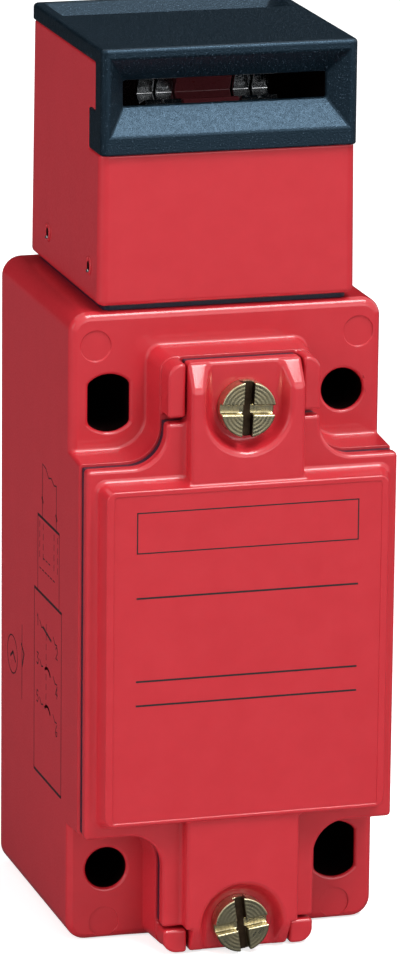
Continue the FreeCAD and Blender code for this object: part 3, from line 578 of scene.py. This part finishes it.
def make_materials():
    """One material for each slot of the record, and three for printing, painted shade in deep bores,
    hollows and pits, and painted shade in the screw slots.
    """
    return {
        "red_casting": enamel("red_casting", (0.545, 0.019, 0.030), (0.575, 0.023, 0.035), 0.33),
        "bare_casting": metal("bare_casting", (0.36, 0.36, 0.37), (0.52, 0.52, 0.53), 0.5,
                              per_mm=1.0, depth=0.006),
        # its light grains are painted highlights for the glints of the grained surface
        "hood_plastic": grained_plastic("hood_plastic", (0.0012, 0.0040, 0.0070), (0.0040, 0.0105, 0.0165),
                                        0.38, 0.05, 5.2, painted_glint=(0.075, 0.11, 0.15),
                                        tint=(0.43, 0.71, 1.0), gloss=0.66),
        "gasket_rubber": grained_plastic("gasket_rubber", (0.006, 0.006, 0.018), (0.014, 0.014, 0.034),
                                         0.36, 0.01, 3.0),
        "seal_rubber": grained_plastic("seal_rubber", (0.012, 0.012, 0.012), (0.025, 0.025, 0.025),
                                       0.5, 0.008, 3.0),
        "zinc_steel": screw_metal("zinc_steel", (0.40, 0.34, 0.20), (0.78, 0.70, 0.46), 0.32),
        "plain_steel": metal("plain_steel", (0.42, 0.42, 0.43), (0.62, 0.62, 0.62), 0.3),
        "bright_steel": metal("bright_steel", (0.34, 0.35, 0.36), (0.90, 0.92, 0.94), 0.2,
                              depth=0.0002),
        "spring_steel": metal("spring_steel", (0.3, 0.3, 0.32), (0.55, 0.55, 0.57), 0.3),
        "bearing_brass": metal("bearing_brass", (0.5, 0.36, 0.14), (0.74, 0.56, 0.26), 0.3),
        "contact_brass": metal("contact_brass", (0.58, 0.44, 0.22), (0.8, 0.66, 0.4), 0.26),
        "white_nylon": grained_plastic("white_nylon", (0.70, 0.68, 0.60), (0.78, 0.76, 0.68), 0.4, 0.004),
        "cam_plastic": grained_plastic("cam_plastic", (0.17, 0.030, 0.038), (0.24, 0.048, 0.058),
                                       0.32, 0.004),
        "carriage_plastic": grained_plastic("carriage_plastic", (0.60, 0.56, 0.45), (0.68, 0.64, 0.53),
                                            0.45, 0.004),
        "block_plastic": grained_plastic("block_plastic", (0.022, 0.022, 0.024), (0.038, 0.038, 0.041),
                                         0.42, 0.006),
        "block_cover_plastic": grained_plastic("block_cover_plastic", (0.10, 0.10, 0.105),
                                               (0.14, 0.14, 0.145), 0.42, 0.005),
        "ink": grained_plastic("ink", (0.010, 0.008, 0.010), (0.022, 0.016, 0.018), 0.5, 0.002),
        # nearly black bare casting: painted shade for the deep bores, the head's hollow and the stake pits
        "painted_shade_casting": metal("painted_shade_casting", (0.010, 0.004, 0.004), (0.022, 0.010, 0.010), 0.6,
                               per_mm=1.0, depth=0.004),
        # dark brown: painted shade in the screw heads' upright slots
        "slot_painted_shade": metal("slot_painted_shade", (0.035, 0.022, 0.014), (0.10, 0.065, 0.04), 0.5),
        "earth_steel": metal("earth_steel", (0.16, 0.30, 0.12), (0.32, 0.50, 0.24), 0.34),
    }


MATERIALS = make_materials()


# ---- pieces carried over from the frame ----------------------------------------------
SHOWN = {
    "body_housing": "body_shell", "front_cover": "cover_shell", "head_casing": "head_shell",
    "slot_hood": "hood_shell", "cover_gasket": "gasket", "head_gasket": "head_seal_sheet",
}
COILS = {"return_spring": (0.55, 6), "contact_springs": (0.4, 3)}    # wire in mm, turns


def paint_inside(obj, material, inside):
    """Gives the faces whose middle passes a test, in millimetres, another material."""
    obj.data.materials.append(MATERIALS[material])
    for face in obj.data.polygons:
        if inside(Vector(face.center) / MM, face.normal):
            face.material_index = len(obj.data.materials) - 1


def in_fixing_bore(middle, normal):
    """Deep wall of a through hole beside a cover screw, which is painted nearly black as painted shade."""
    level = min(abs(middle.z - z) for z in BORE_Z)
    return (abs(abs(middle.x) - BORE_X) < BORE_REACH and level < BORE_REACH
            and middle.y > BORE_SHADE_Y and abs(normal.y) < 0.3)


def in_upright_slot(middle, _):
    """Walls and floor of the upright slot in the cover screws' heads, which are painted dark as painted
    shade.
    """
    face_y = min(v.co.y for v in frame["nodes"]["cover_screws"].data.vertices) / MM
    return abs(middle.x) < SLOT_HALF and 0.1 < middle.y - face_y < SLOT_DEPTH + 0.1


def in_head_cavity(middle, _):
    """Walls of the head's hollow behind the tongue slot, bare inside and painted nearly black as painted
    shade.
    """
    return (abs(middle.x) < CAVITY_X and middle.z > CAVITY_Z
            and CAVITY_Y[0] < middle.y < CAVITY_Y[1])


def dress_frame():
    """Every CAD node as a softened copy or, for a coil, as round wire."""
    for node in BODY_OF:
        if node in COILS:
            round_springs(node, *COILS[node])
        else:
            dress(node, SHOWN.get(node, "soft_" + node))
    # the deep bores, the head's hollow and the screw slots are painted dark: painted shade
    paint_inside(bpy.data.objects["body_shell"], "painted_shade_casting", in_fixing_bore)
    paint_inside(bpy.data.objects["head_shell"], "painted_shade_casting", in_head_cavity)
    paint_inside(bpy.data.objects["soft_cover_screws"], "slot_painted_shade", in_upright_slot)


# ---- springs and threads --------------------------------------------------------------
WIRE_SIDES = 10
COIL_STEPS = 24          # to a turn
CLOSED_TURNS = 0.8       # at each end of a coil
RIDGE_FOOT = 0.42        # half widths of a thread's ridge, of its pitch
RIDGE_CREST = 0.06
RIDGE_BURIED = 0.02      # of its height


def tube(bm, path, radius):
    """A closed round tube along a path, in metres."""
    rings = []
    for i, point in enumerate(path):
        ahead = (path[min(i + 1, len(path) - 1)] - path[max(i - 1, 0)]).normalized()
        across = ahead.cross(Vector((0, 0, 1))).normalized()
        up = across.cross(ahead)
        rings.append([bm.verts.new(point + radius * (across * math.cos(t) + up * math.sin(t)))
                      for t in (2 * math.pi * k / WIRE_SIDES for k in range(WIRE_SIDES))])
    skin(bm, rings)


def skin(bm, rings):
    """Joins rings of corners into a closed skin."""
    count = len(rings[0])
    for near, far in zip(rings, rings[1:]):
        for k in range(count):
            bm.faces.new((near[k], near[(k + 1) % count], far[(k + 1) % count], far[k]))
    bm.faces.new(rings[0][::-1])
    bm.faces.new(rings[-1])


def round_springs(node, wire, turns):
    """Round-wire tubes with closed ends, one for each lump of the CAD node's mesh.

    A known fault: the mesh comes with its faces apart, so nearly every face counts as a lump, and
    hundreds of tubes lie over one another where one coil, or three, were meant.
    """
    source = bmesh.new()
    source.from_mesh(frame["nodes"][node].data)
    bm = bmesh.new()
    for island in islands(source):
        low, high = box_of(island)
        centre, wire_r = (low + high) / 2, wire * MM / 2
        coil_r = (high.x - low.x) / 2 - wire_r
        path = []
        for k in range(COIL_STEPS * turns + 1):
            share = k / (COIL_STEPS * turns)
            closed = min(1.0, max(0.0, (share * turns - CLOSED_TURNS) / (turns - 2 * CLOSED_TURNS)))
            angle = 2 * math.pi * turns * share
            path.append(Vector((centre.x + coil_r * math.cos(angle), centre.y + coil_r * math.sin(angle),
                                low.z + wire_r + closed * (high.z - low.z - 2 * wire_r))))
        tube(bm, path, wire_r)
    source.free()
    bmesh.ops.recalc_face_normals(bm, faces=bm.faces)
    obj = new_object("soft_" + node, bm)
    smooth_all(obj)
    place(obj, BODY_OF[node], SLOT_OF[node])
    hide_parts(node)


def islands(bm):
    """The separate lumps of a mesh, as lists of corners."""
    seen = set()
    lumps = []
    for first in bm.verts:
        if first in seen:
            continue
        seen.add(first)
        lump = [first]
        for vert in lump:
            for edge in vert.link_edges:
                other = edge.other_vert(vert)
                if other not in seen:
                    seen.add(other)
                    lump.append(other)
        lumps.append(lump)
    return lumps


def smooth_all(obj):
    """Shades a round form as one surface."""
    for face in obj.data.polygons:
        face.use_smooth = True


def helix_ridge(name, start, axis, length, radius, height, pitch, body, slot_name, per_turn=36):
    """A screw thread's ridge: height is negative where it stands inward from a bore."""
    axis = Vector(axis).normalized()
    across = axis.orthogonal().normalized()
    up = axis.cross(across)
    bm = bmesh.new()
    rings = []
    count = int(per_turn * length / pitch)
    for k in range(count + 1):
        angle = 2 * math.pi * k / per_turn
        out = across * math.cos(angle) + up * math.sin(angle)
        along = k * pitch / per_turn
        fade = min(1.0, k / per_turn, (count - k) / per_turn) if 0 < k < count else RIDGE_BURIED
        foot, crest = RIDGE_FOOT * pitch, RIDGE_CREST * pitch
        profile = ((-foot, -RIDGE_BURIED * height), (-crest, fade * height),
                   (crest, fade * height), (foot, -RIDGE_BURIED * height))
        rings.append([bm.verts.new((Vector(start) + axis * (along + a) + out * (radius + r)) * MM)
                      for a, r in profile])
    skin(bm, rings)
    bmesh.ops.recalc_face_normals(bm, faces=bm.faces)
    obj = new_object(name, bm)
    place(obj, body, slot_name)


def threads():
    """The cable entry's Pg 13.5 thread and the threads of the two cover screws."""
    helix_ridge("entry_thread", (0, HEAD_Y, ENTRY_MARGIN), (0, 0, 1),
                ENTRY_DEPTH - 2 * ENTRY_MARGIN, ENTRY_R, ENTRY_RIDGE, ENTRY_PITCH, "housing",
                "bare_casting", 72)
    for name, z in zip(("lower", "upper"), COVER_SCREW_Z):
        helix_ridge("screw_thread_" + name, (0, SCREW_THREAD_Y[0], z), (0, 1, 0),
                    SCREW_THREAD_Y[1] - SCREW_THREAD_Y[0], SCREW_R, SCREW_RIDGE, SCREW_PITCH,
                    BODY_OF["cover_screws"], "zinc_steel")


# ---- peened marks on the head's side ----------------------------------------------------
DOME_SIDES = 20


def dome(bm, centre, across, up, size, profile, material):
    """A low round form on a flat: profile gives shares of its half width and its rise in mm."""
    out = across.cross(up)
    turns = [2 * math.pi * k / DOME_SIDES for k in range(DOME_SIDES)]
    rings = [[bm.verts.new((centre + across * size[0] * r * math.cos(t)
                            + up * size[1] * r * math.sin(t) + out * rise) * MM) for t in turns]
             for r, rise in profile]
    before = set(bm.faces)
    skin(bm, rings)
    for face in set(bm.faces) - before:
        face.material_index = material


def stake_marks():
    """Two places where the head's side was punched to hold its insert: a pit painted nearly black as
    painted shade, with raised paint round it, and a bright point where the punch went through the paint."""
    node = frame["nodes"]["head_casing"]
    side = BVHTree.FromPolygons([v.co for v in node.data.vertices],
                                [list(p.vertices) for p in node.data.polygons])
    bm = bmesh.new()
    for y in STAKE_Y:
        spot, normal, _, _ = side.ray_cast(Vector((-30.0, y, STAKE_Z)) * MM, Vector((1, 0, 0)))
        across = Vector((0, -1, 0))
        up = normal.cross(across).normalized()
        for (ahead, above), size, profile, material in STAKE_FORMS:
            centre = spot / MM + across * ahead + up * above
            dome(bm, centre, across, up, size, profile, material)
    bmesh.ops.recalc_face_normals(bm, faces=bm.faces)
    obj = new_object("stake_marks", bm)
    smooth_all(obj)
    made_of = [face.material_index for face in obj.data.polygons]
    place(obj, "head", STAKE_MATERIALS[0])
    for extra in STAKE_MATERIALS[1:]:
        obj.data.materials.append(MATERIALS[extra])
    obj.data.polygons.foreach_set("material_index", made_of)


# ---- printing ---------------------------------------------------------------------------
DIGITS = {      # strokes in a box one high and one wide
    "1": [(0.2, 0.75), (0.55, 1), (0.55, 0)],
    "2": [(0.05, 0.8), (0.3, 1), (0.7, 1), (0.9, 0.75), (0.8, 0.5), (0.05, 0), (0.95, 0)],
    "3": [(0.05, 1), (0.9, 1), (0.4, 0.6), (0.85, 0.45), (0.85, 0.15), (0.5, 0), (0, 0.1)],
    "4": [(0.7, 0), (0.7, 1), (0, 0.3), (0.95, 0.3)],
    "5": [(0.85, 1), (0.15, 1), (0.1, 0.55), (0.6, 0.6), (0.9, 0.35), (0.6, 0), (0, 0.05)],
    "6": [(0.75, 1), (0.2, 0.6), (0.05, 0.25), (0.35, 0), (0.8, 0.1), (0.85, 0.4), (0.1, 0.35)],
}


class Print:
    """Ink on a flat: x to the reader's right and y up, in millimetres on the part."""

    def __init__(self, name, origin, right, body):
        self.name, self.body = name, body
        self.origin, self.right, self.up = Vector(origin), Vector(right), Vector((0, 0, 1))
        self.proud = self.right.cross(self.up) * INK_PROUD
        self.bm = bmesh.new()

    def line(self, points, width=INK_THIN):
        for (ax, ay), (bx, by) in zip(points, points[1:]):
            a, b = Vector((ax, ay)), Vector((bx, by))
            along = (b - a).normalized()
            side = Vector((-along.y, along.x)) * width / 2
            a, b = a - along * width / 3, b + along * width / 3
            corners = [a - side, b - side, b + side, a + side]
            low, high = ([self.bm.verts.new((self.origin + self.right * c.x + self.up * c.y
                                             + level * self.proud) * MM) for c in corners]
                         for level in (-0.5, 1.0))
            skin(self.bm, [low, high])

    def box(self, left, low, right, high, width):
        self.line([(left, low), (left, high), (right, high), (right, low), (left, low)], width)

    def dashes(self, a, b):
        a, b = Vector(a), Vector(b)
        along = (b - a).normalized()
        step = DASH + DASH_GAP
        for k in range(int((b - a).length / step)):
            start = a + along * k * step
            self.line([start, start + along * DASH])

    def arc(self, centre, radius, first=0, last=360, width=INK_THIN):
        steps = 32
        turns = (math.radians(first + (last - first) * k / steps) for k in range(steps + 1))
        self.line([(centre[0] + radius * math.cos(t), centre[1] + radius * math.sin(t))
                   for t in turns], width)

    def digit(self, value, left, low):
        self.line([(left + DIGIT_W * DIGIT_H * x, low + DIGIT_H * y) for x, y in DIGITS[value]])

    def finish(self):
        bmesh.ops.recalc_face_normals(self.bm, faces=self.bm.faces)
        obj = new_object(self.name, self.bm)
        obj.data.materials.append(MATERIALS["ink"])
        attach(obj, self.body)


def label_print():
    """Ruled frame and lines of the rating label.  The words stay off."""
    ink = Print("label_lines", (0, LABEL_Y, 0), (1, 0, 0), "cover")
    ink.box(-LABEL_RULE, LABEL_FRAME[0], LABEL_RULE, LABEL_FRAME[1], INK_FRAME)
    for height in LABEL_LINES:
        ink.line([(-LABEL_RULE, height), (LABEL_RULE, height)], INK_RULE)
    ink.finish()


def side_print():
    """Contact scheme on the left side: head, tongue, contacts and the positive-opening sign."""
    ink = Print("side_scheme", (-SIDE_X, 0, 0), (0, -1, 0), "housing")
    for height in SCHEME_ENDS:
        ink.line([(edge, height) for edge in SCHEME_SIDES], INK_BOLD)
    for edge in SCHEME_SIDES:
        ink.line([(edge, height) for height in SCHEME_ENDS])
    ink.line([(edge, SOCKET_TOP) for edge in SOCKET_SIDES], INK_BOLD)
    for edge in SOCKET_SIDES:
        ink.line([(edge, SCHEME_ENDS[1]), (edge, SOCKET_TOP)])
    for edge in (-2.3, -0.6, 4.6, 6.3):
        ink.dashes((edge, 51.0), (edge, 45.6))
    ink.dashes((-2.3, 45.0), (6.3, 45.0))
    ink.dashes((-0.6, 46.6), (4.6, 46.6))
    ink.line([(-1.0, SOCKET_TOP), (-1.0, 58.7), (0.6, 58.5), (1.9, 57.6), (3.2, 57.9), (4.4, 57.3),
              (5.65, 57.5), (5.65, SOCKET_TOP)])
    for edge, height in ((-1.0, 53.8), (5.65, 53.2)):
        ink.line([(edge - 0.3, height + 0.5), (edge + 0.3, height)], INK_BOLD)
    ink.dashes((1.0, 38.4), (1.0, 26.4))
    for k, height in enumerate((37.5, 32.4, 27.4)):
        ink.digit(str(2 * k + 1), -3.6, height - 0.3)
        ink.digit(str(2 * k + 2), 5.6, height - 2.2)
        ink.line([(-2.1, height + 0.6), (-1.3, height - 0.1), (-0.5, height + 0.1)])
        if k == 0:
            ink.line([(-0.5, height + 0.1), (3.4, height - 0.6)], INK_BOLD)
        else:
            ink.arc((1.6, height - 1.4), 1.8, 40, 130, INK_BOLD)
        ink.line([(4.4, height + 0.2), (5.3, height - 0.5), (6.2, height - 0.4)])
    ink.arc((-15.7, 29.8), 2.5)
    ink.line([(-16.6, 29.4), (-15.4, 30.2), (-14.2, 29.2)], INK_BOLD)
    ink.line([(-10.9, 35.0), (-10.9, 25.2)])
    ink.line([(-11.2, 32.4), (-9.9, 31.4), (-10.8, 29.6)], INK_BOLD)
    ink.finish()


# ---- floor, light, camera -----------------------------------------------------------
def make_floor():
    """A pale floor that the camera sees as nearly white and that keeps the shadow."""
    bm = bmesh.new()
    bmesh.ops.create_grid(bm, x_segments=1, y_segments=1, size=3.0)
    floor = new_object("floor", bm)
    floor.location.z = cad_box[0].z - 0.0001
    n = Nodes("floor")
    n.set(Base_Color=(0.86, 0.86, 0.86, 1), Roughness=0.9, Emission_Color=(1, 1, 1, 1))
    path = n.add("ShaderNodeLightPath")
    n.wire(Emission_Strength=n.math("MULTIPLY", path.outputs["Is Camera Ray"], FLOOR_GLOW))
    floor.data.materials.append(n.material)


def area_light(name, direction, distance, size, power):
    """A soft box that shines on the part: direction leads to it, distance and size in metres."""
    light = bpy.data.lights.new(name, "AREA")
    light.shape = "RECTANGLE"
    light.size, light.size_y = size
    light.energy = power
    obj = bpy.data.objects.new(name, light)
    bpy.context.scene.collection.objects.link(obj)
    away = Vector(direction).normalized()
    obj.location = Vector(LIT_POINT) + away * distance
    obj.rotation_mode = "QUATERNION"
    obj.rotation_quaternion = (-away).to_track_quat("-Z", "Y")


def dark_card(name, centre, size, turn, glow=0.0):
    """A studio card that only reflections see, to keep the white room out of them."""
    bm = bmesh.new()
    bmesh.ops.create_grid(bm, x_segments=1, y_segments=1, size=0.5)
    card = new_object(name, bm)
    card.scale = (*size, 1)
    card.location = centre
    card.rotation_euler = turn
    card.visible_camera = card.visible_diffuse = card.visible_shadow = False
    card.visible_transmission = card.visible_volume_scatter = False
    n = Nodes(name)
    n.set(Base_Color=(0.004, 0.004, 0.004, 1), Roughness=1.0, Specular_IOR_Level=0.0,
          Emission_Color=(0.8, 0.9, 1.0, 1), Emission_Strength=glow)
    card.data.materials.append(n.material)


def make_light():
    """An even white room, three soft boxes, and the cards."""
    world = bpy.data.worlds.new("studio")
    bpy.context.scene.world = world
    world.use_nodes = True
    tree = world.node_tree
    background = tree.nodes["Background"]
    path = tree.nodes.new("ShaderNodeLightPath")
    seen = path.outputs["Is Camera Ray"]
    for kind in ("Is Glossy Ray", "Is Transmission Ray"):
        either = tree.nodes.new("ShaderNodeMath")
        either.operation = "MAXIMUM"
        tree.links.new(seen, either.inputs[0])
        tree.links.new(path.outputs[kind], either.inputs[1])
        seen = either.outputs[0]
    mix = tree.nodes.new("ShaderNodeMapRange")
    mix.inputs["To Min"].default_value = WORLD_LIGHT
    mix.inputs["To Max"].default_value = 1.0
    tree.links.new(seen, mix.inputs["Value"])
    background.inputs["Color"].default_value = (1, 1, 1, 1)
    tree.links.new(mix.outputs["Result"], background.inputs["Strength"])
    area_light("overhead", (0.3, -0.5, 1.0), 1.1, (0.5, 0.4), 9.0)
    area_light("front", (0.3, -1.0, 0.3), 1.4, (0.8, 0.8), 2.7)
    area_light("side", (-0.95, -0.3, 0.35), 1.4, (0.6, 0.8), 7.0)
    quarter = math.radians(90)
    dark_card("card_below", (0, 0, cad_box[0].z), (3.0, 3.0), (0, 0, 0), CARD_GLOW)
    dark_card("card_behind", (0, 0.9, 0.3), (2.4, 1.4), (quarter, 0, 0))
    dark_card("card_left", (-0.9, 0.2, 0.3), (1.4, 2.4), (0, quarter, 0))


def make_camera():
    """A plain camera at the viewing angle."""
    azimuth, elevation = math.radians(VIEW_AZIMUTH), math.radians(VIEW_ELEVATION)
    back = Vector((math.sin(azimuth) * math.cos(elevation), -math.cos(azimuth) * math.cos(elevation),
                   math.sin(elevation)))
    data = bpy.data.cameras.new("camera")
    data.sensor_width = 36.0
    data.lens = LENS
    data.clip_start = 0.05
    data.clip_end = 20.0
    camera = bpy.data.objects.new("camera", data)
    bpy.context.scene.collection.objects.link(camera)
    camera.rotation_mode = "QUATERNION"
    upright = (-back).to_track_quat("-Z", "Y")
    camera.rotation_quaternion = Quaternion(back, math.radians(VIEW_ROLL)) @ upright
    camera.location = Vector(VIEW_TARGET) + back * VIEW_DISTANCE
    bpy.context.scene.camera = camera


dress_frame()
threads()
stake_marks()
label_print()
side_print()
make_floor()
make_light()
make_camera()
bpy.context.scene.view_settings.view_transform = "Standard"
